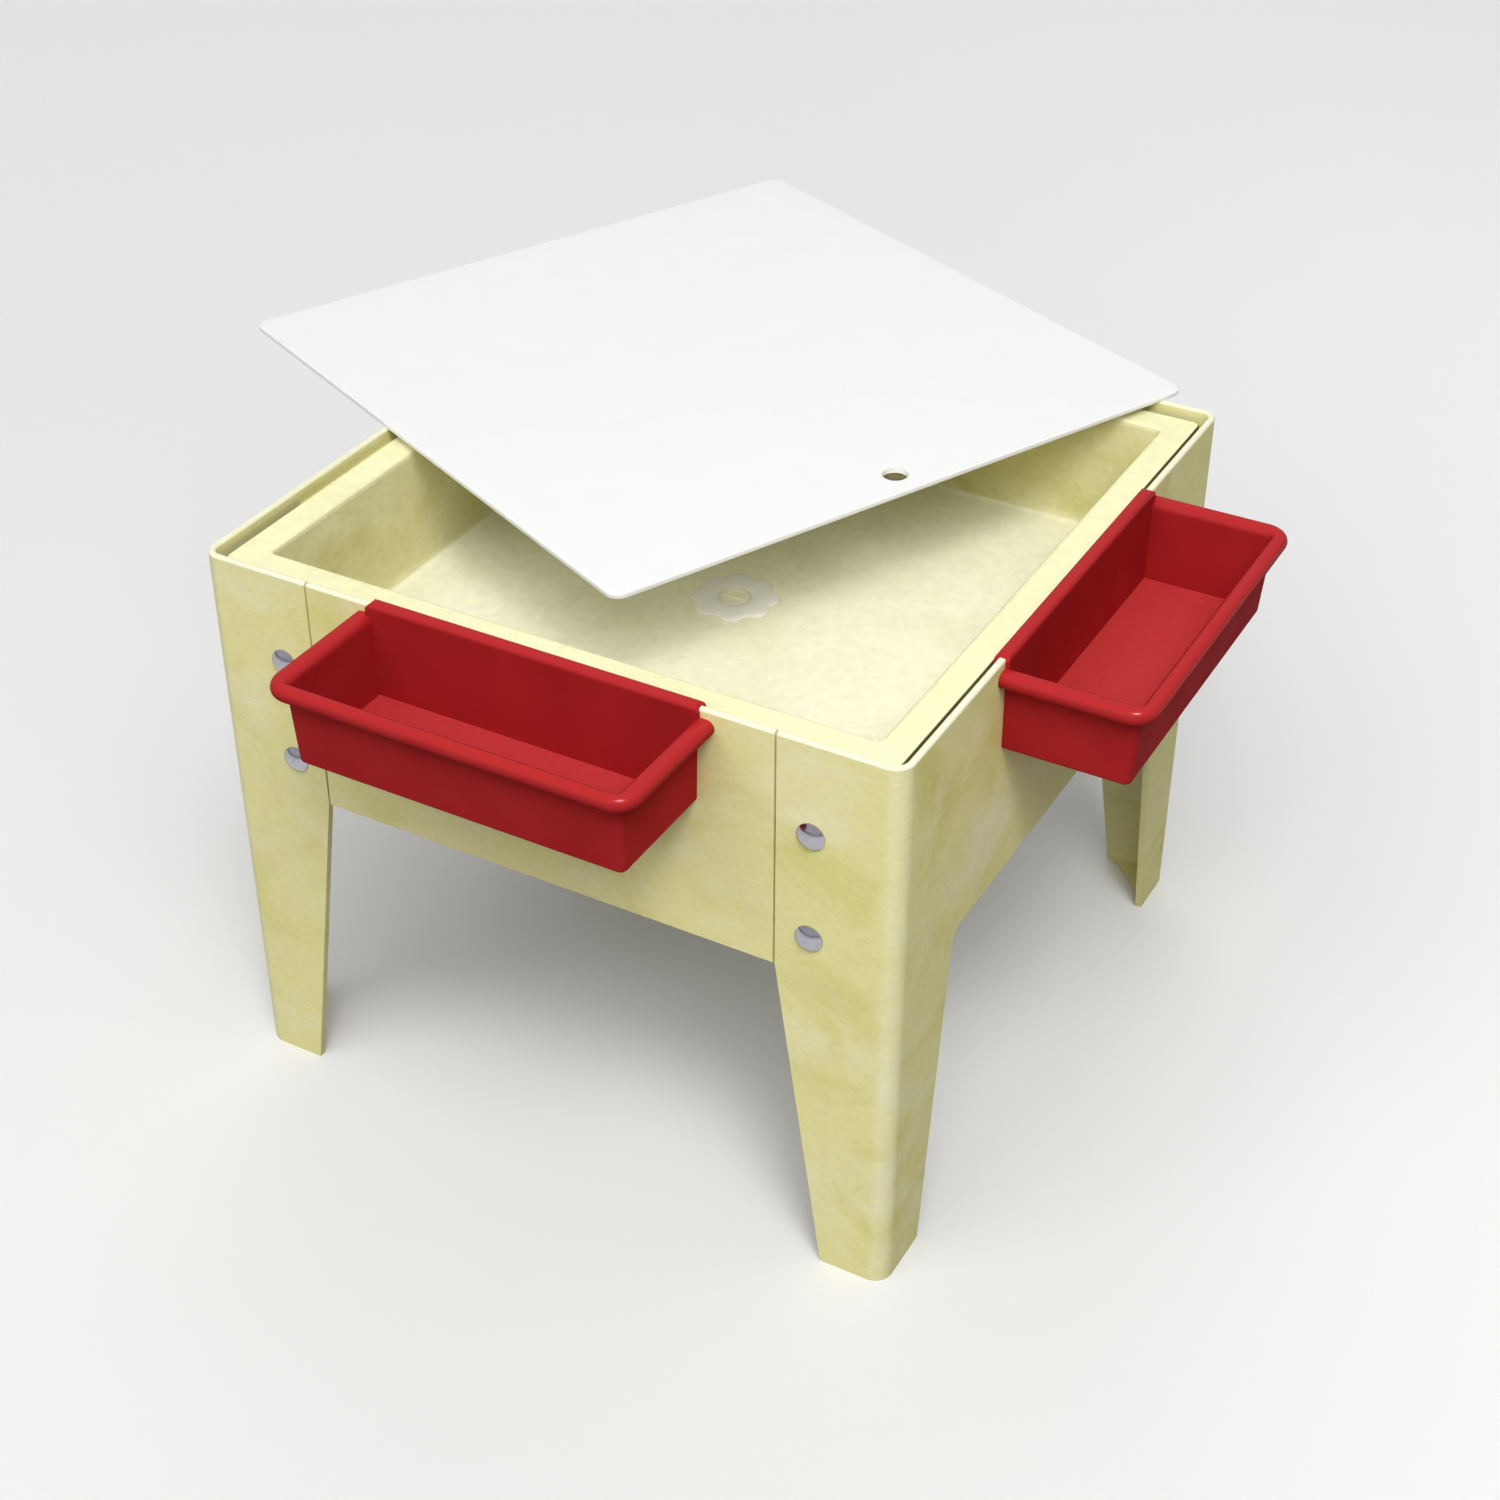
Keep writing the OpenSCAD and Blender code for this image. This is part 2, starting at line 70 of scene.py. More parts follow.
def node_group(name, inputs, outputs):
    """An empty shader node group with the named inputs and outputs, and its two end nodes."""
    group = bpy.data.node_groups.new(name, "ShaderNodeTree")
    for label, kind, value in inputs:
        socket = group.interface.new_socket(label, in_out="INPUT", socket_type=kind)
        socket.default_value = value
    for label, kind in outputs:
        group.interface.new_socket(label, in_out="OUTPUT", socket_type=kind)
    return group, group.nodes.new("NodeGroupInput"), group.nodes.new("NodeGroupOutput")


def fill(tree, sockets, values):
    """Links each of the labelled sockets to the socket given for it, or sets it to the number,
    vector or colour given for it."""
    for label, value in values.items():
        socket = sockets[label]
        if isinstance(value, bpy.types.NodeSocket):
            tree.links.new(value, socket)
        else:
            socket.default_value = (*value, 1.0) if socket.type == "RGBA" else value


def on_object(tree):
    """The place of the shaded point in its object's own coordinates."""
    return tree.nodes.new("ShaderNodeTexCoord").outputs["Object"]


def noise(tree, scale, stretch=(1, 1, 1), shift=(0, 0, 0), slant=(0, 0, 0), detail=2.0,
          rough=0.5, bend=0.0):
    """Noise on Object coordinates, stretched, shifted and slanted about each axis."""
    mapping = tree.nodes.new("ShaderNodeMapping")
    fill(tree, mapping.inputs, {"Vector": on_object(tree), "Scale": stretch, "Location": shift,
                                "Rotation": slant})
    node = tree.nodes.new("ShaderNodeTexNoise")
    fill(tree, node.inputs, {"Vector": mapping.outputs["Vector"], "Scale": scale,
                             "Detail": detail, "Roughness": rough, "Distortion": bend})
    return node.outputs["Fac"]


def spread(tree, value, low, high, to_low=0.0, to_high=1.0):
    """Value carried from the range low to high onto to_low to to_high, and held there."""
    node = tree.nodes.new("ShaderNodeMapRange")
    fill(tree, node.inputs, {"Value": value, "From Min": low, "From Max": high,
                             "To Min": to_low, "To Max": to_high})
    return node.outputs["Result"]


def blend_colour(tree, share, first, second, how="MIX"):
    """First colour turned into the second by share, each a socket or a colour."""
    node = tree.nodes.new("ShaderNodeMix")
    node.data_type = "RGBA"
    node.blend_type = how
    fill(tree, node.inputs, {0: share, 6: first, 7: second})
    return node.outputs[2]


def reckon(tree, how, first, second=0.0, third=0.0):
    """One step of arithmetic on one to three values, each a socket or a number."""
    node = tree.nodes.new("ShaderNodeMath")
    node.operation = how
    fill(tree, node.inputs, {0: first, 1: second, 2: third})
    return node.outputs[0]


def reckon_vector(tree, how, first, second=(0.0, 0.0, 0.0)):
    """One step of arithmetic on two vectors. A length or a dot product is a plain value."""
    node = tree.nodes.new("ShaderNodeVectorMath")
    node.operation = how
    fill(tree, node.inputs, {0: first, 1: second})
    return node.outputs["Value" if how in ("LENGTH", "DOT_PRODUCT") else "Vector"]


def axes(tree, vector):
    """The X, Y and Z of a vector socket."""
    node = tree.nodes.new("ShaderNodeSeparateXYZ")
    tree.links.new(vector, node.inputs[0])
    return node.outputs


def upward(tree):
    """How far the surface faces up: 1 on a floor, 0 on a wall, -1 on an underside."""
    return axes(tree, tree.nodes.new("ShaderNodeNewGeometry").outputs["Normal"])["Z"]


def grey_of(tree, value):
    """The grey of that value."""
    node = tree.nodes.new("ShaderNodeCombineColor")
    fill(tree, node.inputs, {"Red": value, "Green": value, "Blue": value})
    return node.outputs["Color"]


# three of its inputs paint light and shade into the colour: a painted highlight on the rim and the
# corners, painted light on level faces and painted shade round the basin's flange
mottle, mottle_in, mottle_out = node_group(
    "mottled_plastic",
    [("Base", "NodeSocketColor", (0.8, 0.8, 0.8, 1)),
     ("Olive", "NodeSocketColor", (0.7, 0.7, 0.3, 1)),
     ("Pale", "NodeSocketColor", (0.9, 0.85, 0.6, 1)),
     ("Tan", "NodeSocketColor", (0.8, 0.7, 0.5, 1)),
     ("Clouds", "NodeSocketFloat", 1.0), ("Flecks", "NodeSocketFloat", 0.05),
     ("Shine", "NodeSocketFloat", 0.45), ("PaintedHighlight", "NodeSocketFloat", 0.0),
     ("LitTops", "NodeSocketFloat", 0.0), ("GapShade", "NodeSocketFloat", 0.0)],
    [("Color", "NodeSocketColor"), ("Roughness", "NodeSocketFloat"),
     ("Height", "NodeSocketFloat")])
chosen = mottle_in.outputs
level = spread(mottle, reckon(mottle, "ABSOLUTE", upward(mottle)), 0.6, 0.8)


def along_grain(scale, thin, **more):
    """Noise drawn out level on upright faces and along X on level ones."""
    upright = noise(mottle, scale, stretch=(1, 1, thin), **more)
    lying = noise(mottle, scale, stretch=(1, thin, 1), **more)
    return blend_colour(mottle, level, upright, lying)


def tone_share(amount, low, high, scale, thin, **more):
    """Share of one tone: amount, where noise that leans a little passes from low to high."""
    lean = (0.12, -0.12, 0.0)
    soft = along_grain(scale, thin, slant=lean, detail=4.0, **more)
    return reckon(mottle, "MULTIPLY", spread(mottle, soft, low, high), amount)


tan_amount = reckon(mottle, "MULTIPLY", chosen["Clouds"], 0.6)
colour = blend_colour(
    mottle, tone_share(chosen["Clouds"], 0.48, 0.68, scale=8, thin=1.35, rough=0.62, bend=0.8),
    chosen["Base"], chosen["Olive"])
colour = blend_colour(
    mottle, tone_share(chosen["Clouds"], 0.49, 0.77, scale=13, thin=1.3, shift=(3, 1, 2),
                       rough=0.62, bend=0.3),
    colour, chosen["Pale"])
colour = blend_colour(
    mottle, tone_share(tan_amount, 0.54, 0.74, scale=22, thin=1.6, shift=(1, 5, 4), rough=0.6,
                       bend=0.6),
    colour, chosen["Tan"])

# painted highlight: the top 3 mm of the rim, and the upright corners from 265 mm out, are painted
# paler
highlight_tone = (0.885, 0.870, 0.64)
spot = on_object(mottle)
out_x, out_y, height = axes(mottle, spot)
nearer = reckon(mottle, "MINIMUM", reckon(mottle, "ABSOLUTE", out_x),
                reckon(mottle, "ABSOLUTE", out_y))
corner_highlight = spread(mottle, nearer, 0.2650, 0.2725, 0.0, 0.30)
rim_highlight = spread(mottle, height, 0.4542, 0.4560)
painted_highlight = reckon(mottle, "MULTIPLY", reckon(mottle, "MAXIMUM", corner_highlight, rim_highlight),
                chosen["PaintedHighlight"])
colour = blend_colour(mottle, painted_highlight, colour, highlight_tone)

# painted light: level faces are painted paler than walls, in patches; whiter low down, on the
# basin's floor, and yellower high up, on its flange
low_tone, high_tone = (0.970, 0.957, 0.760), (0.950, 0.930, 0.590)
lit_top_tone = blend_colour(mottle, spread(mottle, height, 0.36, 0.44), low_tone, high_tone)
patches = spread(mottle, noise(mottle, 9, shift=(2, 7, 5), detail=5.0, rough=0.65, bend=0.5),
                 0.36, 0.60, 0.78, 1.0)
painted_top_light = reckon(mottle, "MULTIPLY", reckon(mottle, "MULTIPLY", level, chosen["LitTops"]),
                  patches)
colour = blend_colour(mottle, painted_top_light, colour, lit_top_tone)

# flecks lighten and darken it: short level dashes on walls, grains on level faces
dash = spread(mottle, along_grain(150, 2.4, detail=4.0, rough=0.75, bend=0.5),
              0.33, 0.67, -1.0, 1.0)
grain = spread(mottle, noise(mottle, 110, detail=5.0, rough=0.8), 0.33, 0.67, -1.0, 1.0)
tone = reckon(mottle, "MULTIPLY_ADD", blend_colour(mottle, level, dash, grain),
              chosen["Flecks"], 1.0)
colour = blend_colour(mottle, 1.0, colour, grey_of(mottle, tone), "MULTIPLY")

# painted shade lies where the basin's flange nearly meets the frame: outside a square whose
# rounded corners turn about points 262.5 mm out, from 5.6 mm beyond them
gap_shade_tone = (0.10, 0.085, 0.035)
corner_points = (0.2625, 0.2625, 9.0)
beyond = reckon_vector(mottle, "MAXIMUM", reckon_vector(
    mottle, "SUBTRACT", reckon_vector(mottle, "ABSOLUTE", spot), corner_points))
gap_shade_mask = reckon(mottle, "MULTIPLY",
              spread(mottle, reckon_vector(mottle, "LENGTH", beyond), 0.0056, 0.0062),
              chosen["GapShade"])
colour = blend_colour(mottle, gap_shade_mask, colour, gap_shade_tone)

# blotches in the shine, and a fine grain over soft waves in the surface
blotches = spread(mottle, noise(mottle, 70, detail=3.0), 0.3, 0.7, -1.0, 1.0)
waves, fine_grain = noise(mottle, 45, detail=2.0), noise(mottle, 520, detail=1.0)
fill(mottle, mottle_out.inputs, {
    "Color": colour,
    "Roughness": reckon(mottle, "MULTIPLY_ADD", blotches, 0.05, chosen["Shine"]),
    "Height": reckon(mottle, "MULTIPLY_ADD", waves, 3.0, fine_grain)})


def new_material(name):
    """A material with its node tree and its Principled shader."""
    material = bpy.data.materials.new(name)
    material.use_nodes = True
    return material, material.node_tree, material.node_tree.nodes["Principled BSDF"]


def raise_surface(tree, shader, height, strength, distance):
    """Bump from a height socket."""
    bump = tree.nodes.new("ShaderNodeBump")
    fill(tree, bump.inputs, {"Strength": strength, "Distance": distance, "Height": height})
    tree.links.new(bump.outputs["Normal"], shader.inputs["Normal"])


def mottled(name, base, olive, pale, tan, flecks, shine, clouds=1.0, gloss=0.2, bump=0.1,
            painted_highlight=0.0, lit_tops=0.0, gap_shade=0.0):
    """A material of the mottled plastic in the given tones."""
    material, tree, shader = new_material(name)
    node = tree.nodes.new("ShaderNodeGroup")
    node.node_tree = mottle
    fill(tree, node.inputs, {"Base": base, "Olive": olive, "Pale": pale, "Tan": tan,
                             "Clouds": clouds, "Flecks": flecks, "Shine": shine,
                             "PaintedHighlight": painted_highlight, "LitTops": lit_tops, "GapShade": gap_shade})
    fill(tree, shader.inputs, {"Base Color": node.outputs["Color"],
                               "Roughness": node.outputs["Roughness"], "Coat Weight": gloss,
                               "Coat Roughness": 0.4, "Specular IOR Level": 0.0})
    raise_surface(tree, shader, node.outputs["Height"], bump, 0.0004)
    return material


def dress(material, *names):
    """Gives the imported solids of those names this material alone."""
    for name in names:
        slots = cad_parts[name].data.materials
        slots.clear()
        slots.append(material)


def stand_in(name, mesh, material, body, node):
    """A smooth piece of that mesh and material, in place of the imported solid."""
    mesh.polygons.foreach_set("use_smooth", np.ones(len(mesh.polygons), dtype=bool))
    mesh.materials.clear()
    mesh.materials.append(material)
    piece = bpy.data.objects.new(name, mesh)
    bpy.context.scene.collection.objects.link(piece)
    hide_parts(node)
    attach(piece, body)
    return piece


def shade_evenly(piece):
    """Shades flat faces as flat and the rounds between them as round."""
    even = piece.modifiers.new("even_shading", "WEIGHTED_NORMAL")
    even.mode = "FACE_AREA_WITH_ANGLE"
    even.weight = 80


def soft_edged(name, node, material, body, width):
    """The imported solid's faces merged into one skin, with its hard edges rounded by width."""
    touching, flat, hard = 2e-5, math.radians(0.3), math.radians(40)
    skin = bmesh.new()
    skin.from_mesh(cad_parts[node].data)
    bmesh.ops.remove_doubles(skin, verts=skin.verts, dist=touching)
    bmesh.ops.dissolve_limit(skin, angle_limit=flat, verts=skin.verts, edges=skin.edges)
    mesh = bpy.data.meshes.new(name)
    skin.to_mesh(mesh)
    skin.free()
    for left_over in ("custom_normal", "sharp_edge"):
        if left_over in mesh.attributes:
            mesh.attributes.remove(mesh.attributes[left_over])
    piece = stand_in(name, mesh, material, body, node)
    soften = piece.modifiers.new("soft_edges", "BEVEL")
    soften.width = width
    soften.segments = 3
    soften.limit_method = "ANGLE"
    soften.angle_limit = hard
    soften.use_clamp_overlap = True
    shade_evenly(piece)


# the frame carries a painted highlight on the top of its rim and on its upright corners
frame_plastic = mottled(
    "frame_plastic", base=(0.83, 0.78, 0.37), olive=(0.71, 0.66, 0.22), pale=(0.90, 0.86, 0.57),
    tan=(0.83, 0.725, 0.42), flecks=0.045, shine=0.46, gloss=0.10, painted_highlight=1.0)
frame_edge = 0.0016
for part in ("end_frame_left", "end_frame_right", "front_panel", "back_panel"):
    soft_edged(part + "_moulding", part, frame_plastic, "frame", frame_edge)

# ---- Bolts, washers and nuts --------------------------------------------------------------
# Domed bolts with square necks through flange and tab, polished and zinc plated; the washers
# and nuts inside are duller.


def metal(name, colour, rough):
    """Zinc-plated steel with faint blotches in its colour and its shine."""
    material, tree, shader = new_material(name)
    blotch = noise(tree, 260, detail=3.0)
    darker = tuple(c * 0.9 for c in colour)
    fill(tree, shader.inputs, {
        "Base Color": blend_colour(tree, spread(tree, blotch, 0.35, 0.65), darker, colour),
        "Roughness": spread(tree, blotch, 0.3, 0.7, rough * 0.8, rough * 1.25),
        "Metallic": 1.0})
    return material


joints = ["front_left", "front_right", "back_left", "back_right"]
dress(metal("bolt_steel", (0.50, 0.49, 0.55), rough=0.20), *["bolts_" + j for j in joints])
dress(metal("zinc_steel", (0.60, 0.60, 0.62), rough=0.34),
      *["washers_" + j for j in joints], *["nuts_" + j for j in joints])

# ---- Basin --------------------------------------------------------------------------------
# Tub of the same mottled plastic, moulded in one piece: a flat floor with the drain's hole,
# leaning walls, a rolled mouth, and a flange that rests on ledges inside the frame. Its tones
# are darker than the frame's, as painted shade; its floor and flange are painted paler, as
# painted light, and painted shade runs round the flange's edge.
# its tones, darker than the frame's, are painted shade; the paler level faces are painted light,
# and the dark line round the flange's edge is painted shade
basin_plastic = mottled(
    "basin_plastic", base=(0.72, 0.685, 0.38), olive=(0.61, 0.57, 0.25), pale=(0.80, 0.77, 0.51),
    tan=(0.73, 0.66, 0.40), flecks=0.06, shine=0.42, gloss=0.15, lit_tops=0.88, gap_shade=1.0)


def closed_skin(name, points, material, body, node):
    """Closed skin over a grid of points, (step of the profile, place round the ring), joined end
    to end both ways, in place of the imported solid."""
    steps, count = points.shape[:2]
    step, place = np.meshgrid(np.arange(steps), np.arange(count), indexing="ij")
    after, beside = (step + 1) % steps, (place + 1) % count
    faces = np.stack([step * count + place, after * count + place,
                      after * count + beside, step * count + beside], axis=-1).reshape(-1, 4)
    mesh = bpy.data.meshes.new(name)
    mesh.from_pydata(points.reshape(-1, 3), [], faces.tolist())
    return stand_in(name, mesh, material, body, node)


def square_rings(half, rounding, height, corner_steps=10):
    """Rings of points round level squares with rounded corners, one ring to a row of half widths,
    corner radii and heights. Point of corner k at angle a = the corner's centre, half less
    rounding out along both axes, plus rounding (cos a, sin a), all turned by k quarters."""
    angle = np.tile(np.linspace(0, np.pi / 2, corner_steps), 4)
    quarter = np.repeat(np.arange(4), corner_steps) * np.pi / 2
    centre, reach_r = (half - rounding)[:, None], rounding[:, None]
    along, across = centre + reach_r * np.cos(angle), centre + reach_r * np.sin(angle)
    return np.stack([along * np.cos(quarter) - across * np.sin(quarter),
                     along * np.sin(quarter) + across * np.cos(quarter),
                     np.broadcast_to(height[:, None], along.shape)], axis=-1)


def arc(centre, radius, first, last, steps):
    """Half widths and heights along an arc: its centre plus its radius times (cos a, sin a),
    with the angle a in degrees going from first to last."""
    angle = np.radians(np.linspace(first, last, steps))
    return np.array([centre[0] + radius * np.cos(angle), centre[1] + radius * np.sin(angle)])


# half the basin's section, from the drain hole out over the floor, up the wall, over the mouth
# and the flange, and back underneath
hole_r, floor_mid, basin_floor, floor_low = 0.0167, 0.120, 0.3520, 0.3475
flange_half, wall_half, flange_low = 0.2695, 0.2485, 0.4450
inner_foot = arc((0.2317, 0.3600), 0.008, -90, 0, 9)
outer_foot = arc((0.2260, 0.3660), 0.0185, 0, -90, 9)
mouth = arc((0.2490, 0.4445), 0.005, 180, 90, 9)
flange_edge = arc((0.2680, 0.4480), 0.0015, 90, 0, 5)
basin_half, basin_height = np.hstack([
    [[hole_r, floor_mid], [basin_floor, basin_floor]], inner_foot, mouth, flange_edge,
    [[flange_half, wall_half], [flange_low, flange_low]], outer_foot,
    [[floor_mid, hole_r], [floor_low, floor_low]]])
# the walls' corners turn about points 240 mm out, the flange's about points 262.5 mm out; the
# ring at the drain's hole is all but round, so that no two of its points meet
flange_from, flange_corner_at, wall_corner_at, sharpest = 0.2600, 0.2625, 0.2400, 0.003
corner_at = np.where(basin_half > flange_from, flange_corner_at, wall_corner_at)
basin_rounding = np.maximum(basin_half - corner_at, sharpest)
basin_rounding[[0, -1]] = hole_r * 0.98
shade_evenly(closed_skin(
    "basin_moulding", square_rings(basin_half, basin_rounding, basin_height), basin_plastic,
    "basin", "basin"))

# ---- Drain --------------------------------------------------------------------------------
# Pale fitting with eight soft lobes, clamped through the floor by a ring nut over a rubber
# gasket. Its cream stopper has a dished head with a finger bar across it.


def turned_points(radius, height, angle):
    """Grid of points from arrays over (step of the profile, angle a), each point being
    (radius cos a, radius sin a, height)."""
    return np.stack([radius * np.cos(angle), radius * np.sin(angle),
                     np.broadcast_to(height, radius.shape)], axis=-1)


drain_plastic = mottled(
    "drain_plastic", base=(0.92, 0.91, 0.86), olive=(0.88, 0.87, 0.80), pale=(0.94, 0.935, 0.90),
    tan=(0.90, 0.88, 0.80), clouds=0.7, flecks=0.03, shine=0.40)
dress(drain_plastic, "drain_nut")
# half the fitting's section, as radii and heights over the basin's floor: up the bore and the
# stopper's recess, out over the flange and its rounded lip, and down the tail's outside
bore_r, recess_r, tail_r, lip_r, lip_round = 0.0098, 0.0123, 0.0165, 0.0350, 0.0018
tail_low, recess_low, recess_high, flange_t = -0.026, -0.0006, 0.0019, 0.0024
round_over = np.linspace(0, np.pi / 2, 7)[1:]
flange_r = np.concatenate([
    [bore_r, bore_r, recess_r, recess_r, recess_r + 0.0006, 0.020, 0.026],
    lip_r - lip_round + lip_round * np.sin(round_over), [lip_r, tail_r, tail_r, tail_r]])
flange_z = np.concatenate([
    [tail_low, recess_low, recess_low, recess_high, flange_t, flange_t, flange_t],
    flange_t - lip_round + lip_round * np.cos(round_over), [0.0, 0.0, -0.004, tail_low]])
round_the_drain = np.linspace(0, 2 * np.pi, 192, endpoint=False)
# the lobes' dips at an angle a = lobe depth times (0.5 + 0.5 cos 8a)^1.6, which take effect
# from 24 mm out and fully from 34 mm
lobes, lobe_depth, dips_from, dips_full = 8, 0.0048, 0.024, 0.034
dipped_share = np.clip((flange_r - dips_from) / (dips_full - dips_from), 0, 1)[:, None]
dip = lobe_depth * (0.5 + 0.5 * np.cos(lobes * round_the_drain)) ** 1.6
closed_skin(
    "drain_fitting_ring",
    turned_points(flange_r[:, None] - dipped_share * dip, basin_floor + flange_z[:, None],
                  round_the_drain),
    drain_plastic, "basin", "drain_fitting")

plug_plastic = mottled(
    "plug_plastic", base=(0.90, 0.88, 0.68), olive=(0.85, 0.82, 0.58), pale=(0.92, 0.90, 0.74),
    tan=(0.88, 0.84, 0.66), clouds=0.5, flecks=0.02, shine=0.40)
# the stopper's section from its middle, as radii and heights: the dish, the crowned edge, and
# down the skirt, in and down the shank
middle_r, dish_steps = 0.0002, 14
head_r, shank_r, head_low, shank_low = 0.0119, 0.0094, -0.0004, -0.0145
dish = np.column_stack([np.linspace(middle_r, 0.0088, dish_steps), np.full(dish_steps, 0.0006)])
plug_r, plug_z = np.vstack([
    dish, [(0.0094, 0.0009), (0.0101, 0.0018), (0.0107, 0.0023), (0.0114, 0.0023),
           (head_r, 0.0017), (head_r, head_low), (shank_r, head_low), (shank_r, -0.0135),
           (0.0085, shank_low), (middle_r, shank_low)]]).T[:, :, None]
# the finger bar's rise over the dish at a distance y from its middle line =
# bar rise / (1 + (y / bar half width)^6), held to bar_top
bar_rise, bar_half, bar_top = 0.0016, 0.0015, 0.0021
within_dish = np.arange(len(plug_r))[:, None] <= dish_steps
y_off = plug_r * np.sin(round_the_drain)
bar = bar_rise / (1 + (y_off / bar_half) ** 6) * within_dish
stopper_z = np.minimum(plug_z + bar, np.maximum(plug_z, bar_top))
closed_skin(
    "drain_stopper",
    turned_points(np.broadcast_to(plug_r, y_off.shape), basin_floor + stopper_z,
                  round_the_drain),
    plug_plastic, "drain_plug", "drain_plug")
dress(mottled("gasket_rubber", base=(0.03, 0.03, 0.03), olive=(0.035, 0.035, 0.035),
              pale=(0.05, 0.05, 0.05), tan=(0.04, 0.04, 0.04), clouds=0.5, flecks=0.1, shine=0.6,
              bump=0.3), "drain_gasket")

# ---- Trays --------------------------------------------------------------------------------
# Two red plastic trays from one mould, each with flared walls, a hollow rolled rim and a hook
# that drops over the frame's rim. Low gloss on the walls, more where hands polish the rolls.
# Their floors and the tops of their rolls are painted a paler red, as painted light.
tray_plastic, tree, shader = new_material("tray_plastic")
deep_red, red = (0.345, 0.0150, 0.0165), (0.385, 0.0180, 0.0195)
lit_floor_red, lit_roll_red = (0.54, 0.042, 0.043), (0.46, 0.0180, 0.0195)
height, facing_up = axes(tree, on_object(tree))["Z"], upward(tree)
shade = blend_colour(tree, spread(tree, noise(tree, 22, detail=3.0), 0.35, 0.65), deep_red, red)
# painted light: the floor of each tray is painted a paler red, in a fine speckle
tray_floor, above_floor = 0.3868, 0.3885
painted_floor_light = reckon(tree, "MULTIPLY", spread(tree, height, tray_floor, above_floor, 1.0, 0.0),
                 spread(tree, facing_up, 0.4, 0.8))
floor_light_speckle = spread(tree, noise(tree, 160, stretch=(1.0, 1.6, 1.0), detail=4.0, rough=0.7),
                     0.3, 0.65, 0.75, 1.0)
shade = blend_colour(tree, reckon(tree, "MULTIPLY", painted_floor_light, floor_light_speckle), shade, lit_floor_red)
# hands keep the top of the roll and the hook more polished than the walls; their upward faces
# are also painted a brighter red, as a painted highlight
roll_low, roll_full = 0.4375, 0.4415
roll_top = spread(tree, height, roll_low, roll_full)
painted_roll_light = reckon(tree, "MULTIPLY", roll_top, spread(tree, facing_up, 0.2, 0.9))
polish = reckon(tree, "MULTIPLY", roll_top, spread(tree, facing_up, 0.0, 0.4))
fill(tree, shader.inputs, {
    "Base Color": blend_colour(tree, painted_roll_light, shade, lit_roll_red),
    "Roughness": spread(tree, noise(tree, 120, detail=2.0), 0.3, 0.7, 0.20, 0.26),
    "Coat Weight": spread(tree, polish, 0.0, 1.0, 0.04, 0.36), "Coat Roughness": 0.20,
    "Specular IOR Level": 0.0})
raise_surface(tree, shader, noise(tree, 60, detail=2.0), 0.06, 0.0006)
dress(tray_plastic, "front_tray", "side_tray")

# ---- Lid ----------------------------------------------------------------------------------
# Flat white plastic sheet with rounded corners and a finger hole, cut to lie in the rim. Here
# it lies loose across the rim, turned by 65 degrees.
lid_plastic, tree, shader = new_material("lid_plastic")
cloud = spread(tree, noise(tree, 30, detail=3.0), 0.35, 0.65)
fill(tree, shader.inputs, {
    "Base Color": blend_colour(tree, cloud, (0.885, 0.885, 0.881), (0.895, 0.895, 0.891)),
    "Roughness": spread(tree, noise(tree, 200, detail=2.0), 0.3, 0.7, 0.40, 0.50),
    "Specular IOR Level": 0.2})
dress(lid_plastic, "lid")

# ---- Floor --------------------------------------------------------------------------------
# Plain pale studio floor, painted paler to the right of the table and behind it, and a little
# darker far away: painted light and shade on the floor.
reach = 12.0
floor_mesh = bpy.data.meshes.new("floor")
floor_mesh.from_pydata(
    [(-reach, -reach, 0), (reach, -reach, 0), (reach, reach, 0), (-reach, reach, 0)],
    [], [(0, 1, 2, 3)])
floor = bpy.data.objects.new("floor", floor_mesh)
bpy.context.scene.collection.objects.link(floor)
floor_paint, tree, shader = new_material("floor_paint")
paler_side = (0.85, 0.53, 0.0)
rightward = reckon_vector(tree, "DOT_PRODUCT", on_object(tree), paler_side)
near_floor = blend_colour(tree, spread(tree, rightward, 0.25, 1.0),
                          (0.83, 0.83, 0.83), (0.93, 0.93, 0.935))
away = reckon_vector(tree, "LENGTH", on_object(tree))
pale_floor = blend_colour(tree, spread(tree, away, 0.8, 3.0), near_floor, (0.81, 0.81, 0.815))


def seen_share(tree):
    """1 for the rays that see the background, straight, mirrored or through glass, otherwise 0."""
    rays = tree.nodes.new("ShaderNodeLightPath").outputs
    mirrored = reckon(tree, "MAXIMUM", rays["Is Glossy Ray"], rays["Is Transmission Ray"])
    return reckon(tree, "MAXIMUM", rays["Is Camera Ray"], mirrored)


# it throws back less light than the eye sees in it, as a studio floor in a dark room does
bounce = (0.32, 0.32, 0.32)
fill(tree, shader.inputs, {
    "Base Color": blend_colour(tree, seen_share(tree), bounce, pale_floor),
    "Roughness": 0.9, "Specular IOR Level": 0.1})
floor_mesh.materials.append(floor_paint)

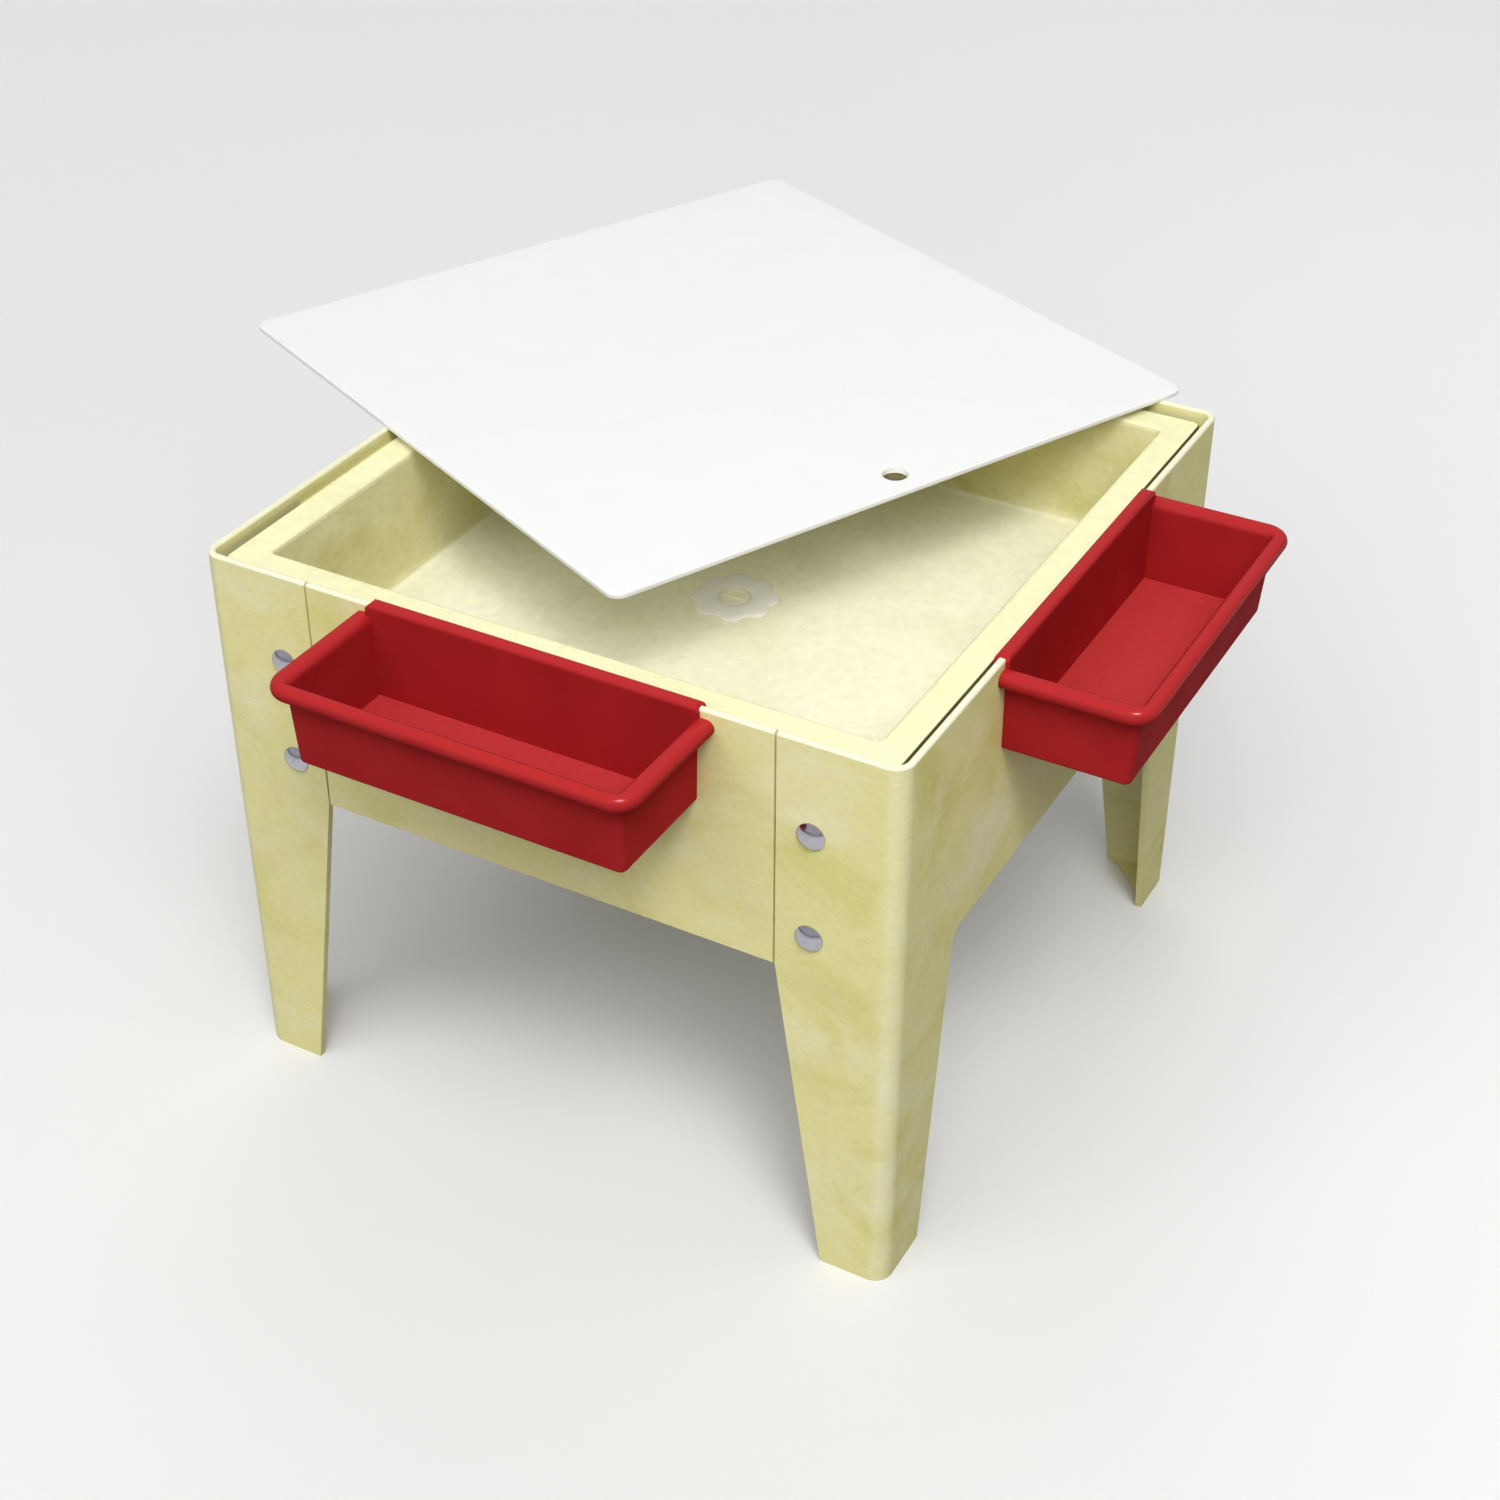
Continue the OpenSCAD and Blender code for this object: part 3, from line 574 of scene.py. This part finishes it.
# ---- World --------------------------------------------------------------------------------
# Plain pale grey behind the table. Metal and gloss mirror a grey room with a dark band just
# over the horizon, and the surfaces get a soft fill, mostly from above and the front left.
world = bpy.data.worlds.new("studio")
bpy.context.scene.world = world
world.use_nodes = True
tree = world.node_tree
backdrop = tree.nodes["Background"]
direction = tree.nodes.new("ShaderNodeTexCoord").outputs["Generated"]
above = axes(tree, direction)["Z"]
seen_grey, room_grey, band_grey = (0.77, 0.77, 0.77), (0.54, 0.54, 0.57), (0.10, 0.10, 0.12)
band_at, band_half = 0.06, 0.055
off_band = reckon(tree, "ABSOLUTE", reckon(tree, "SUBTRACT", above, band_at))
room = blend_colour(tree, reckon(tree, "LESS_THAN", off_band, band_half), room_grey, band_grey)
straight = tree.nodes.new("ShaderNodeLightPath").outputs["Is Camera Ray"]
seen_room = blend_colour(tree, straight, room, seen_grey)
front_left_way = (-0.5, -0.87, 0.0)
overhead = spread(tree, above, 0.1, 0.9, 0.10, 0.32)
sideways = spread(tree, reckon_vector(tree, "DOT_PRODUCT", direction, front_left_way),
                  0.2, 1.0, 0.0, 0.18)
soft_fill = grey_of(tree, reckon(tree, "ADD", overhead, sideways))
fill(tree, backdrop.inputs, {
    "Color": blend_colour(tree, seen_share(tree), soft_fill, seen_room), "Strength": 1.0})

# ---- Lamps --------------------------------------------------------------------------------
# A broad high key light from the front right with a soft box beside it, weaker lamps from the
# front left and the back, and one lamp that shows only as glints in gloss.


def sun_light(name, strength, width, bearing, height, glint=False):
    """A distant lamp of that strength, width in degrees, bearing from the front and height. It
    either lights the object or only glints in its gloss."""
    lamp = bpy.data.lights.new(name, "SUN")
    lamp.energy = strength
    lamp.angle = math.radians(width)
    piece = bpy.data.objects.new(name, lamp)
    piece.rotation_euler = (math.radians(90 - height), 0.0, math.radians(bearing))
    piece.visible_glossy = glint
    piece.visible_diffuse = not glint
    bpy.context.scene.collection.objects.link(piece)


sun_light("key", 1.00, width=34, bearing=37, height=54)
# the soft box stands near the front right corner, so its light falls off to the left and back
box = bpy.data.lights.new("soft_box", "AREA")
box.shape = "DISK"
box.size = 1.0
box.energy = 9.0
soft_box = bpy.data.objects.new("soft_box", box)
soft_box.location = (0.831, -0.991, 1.780)
soft_box.rotation_euler = (math.radians(90 - 54), 0.0, math.radians(40))
soft_box.visible_glossy = False
bpy.context.scene.collection.objects.link(soft_box)
sun_light("key_core", 0.45, width=13, bearing=40, height=57)
sun_light("front_left", 0.82, width=50, bearing=-15, height=41)
sun_light("back", 0.42, width=40, bearing=207, height=42)
sun_light("glint", 2.60, width=20, bearing=46, height=71, glint=True)
